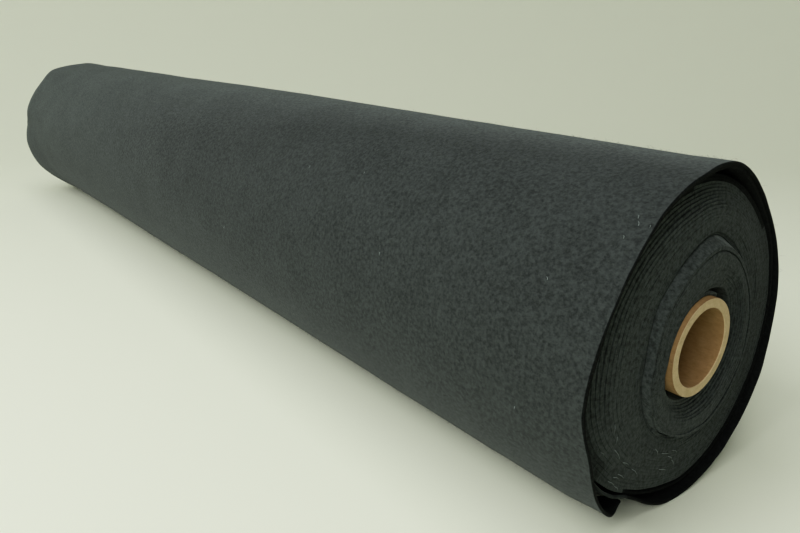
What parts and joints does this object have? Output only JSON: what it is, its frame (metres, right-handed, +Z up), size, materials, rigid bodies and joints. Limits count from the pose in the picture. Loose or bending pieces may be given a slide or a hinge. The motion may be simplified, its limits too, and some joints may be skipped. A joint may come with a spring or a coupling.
{
  "type": "roll of felt",
  "caption": "Full-width roll of dark felt wound on a cardboard core, lying on its side, its inner turns and core slid a little out of one end and its outer turns slightly loose.",
  "frame": {"origin": "on the surface under the middle of the roll, at the bottom centre of its box", "axes": "+X along the roll, towards the end out of which the core stands; +Z up; -Y is the side that the picture shows"},
  "size_m": [0.9272, 0.1726, 0.1704],
  "materials": {
    "felt": "matt, hairy pressed fibres",
    "cardboard": "matt, spiral-wound brown paper"
  },
  "bodies": {
    "root": {"felt_roll": "felt", "core": "cardboard"}
  },
  "joints": []
}
